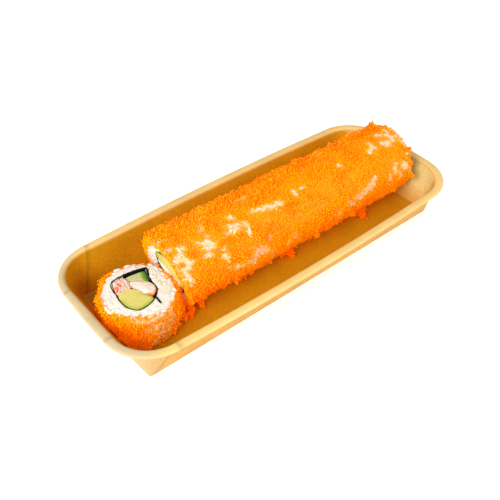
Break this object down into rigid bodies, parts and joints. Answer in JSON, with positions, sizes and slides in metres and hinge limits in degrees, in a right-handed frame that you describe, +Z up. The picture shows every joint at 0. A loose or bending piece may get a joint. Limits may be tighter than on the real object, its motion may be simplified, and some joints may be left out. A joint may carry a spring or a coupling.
{
  "type": "california roll",
  "caption": "Inside-out sushi roll coated in orange roe, one slice cut and laid flat before it, in a shallow kraft paper tray with a rolled rim.",
  "frame": {"origin": "centre of the tray's flat base, on its underside", "axes": "+X along the roll, away from its cut end and the slice; +Y towards the tray's back long side; +Z up"},
  "size_m": [0.2168, 0.0896, 0.0419],
  "materials": {
    "kraft_paper": "smooth uncoated kraft paper with a faint sheen",
    "roe": "moist, glossy small orange eggs",
    "rice": "moist white grains",
    "nori": "damp, nearly black, slightly rough",
    "avocado": "buttery, soft sheen",
    "crab_stick": "moist cream flesh with an orange-red skin",
    "crab_shreds": "moist pink shreds",
    "cucumber": "wet flesh with a dark green skin"
  },
  "bodies": {
    "root": {"tray": "kraft_paper", "roll_rice": "roe", "roll_nori": "nori", "roll_avocado": "avocado", "roll_crab_stick": "crab_stick", "roll_crab_shreds": "crab_shreds", "roll_cucumber": "cucumber", "slice_rice": "roe", "slice_nori": "nori", "slice_avocado": "avocado", "slice_crab_stick": "crab_stick", "slice_crab_shreds": "crab_shreds", "slice_cucumber": "cucumber"}
  },
  "joints": []
}
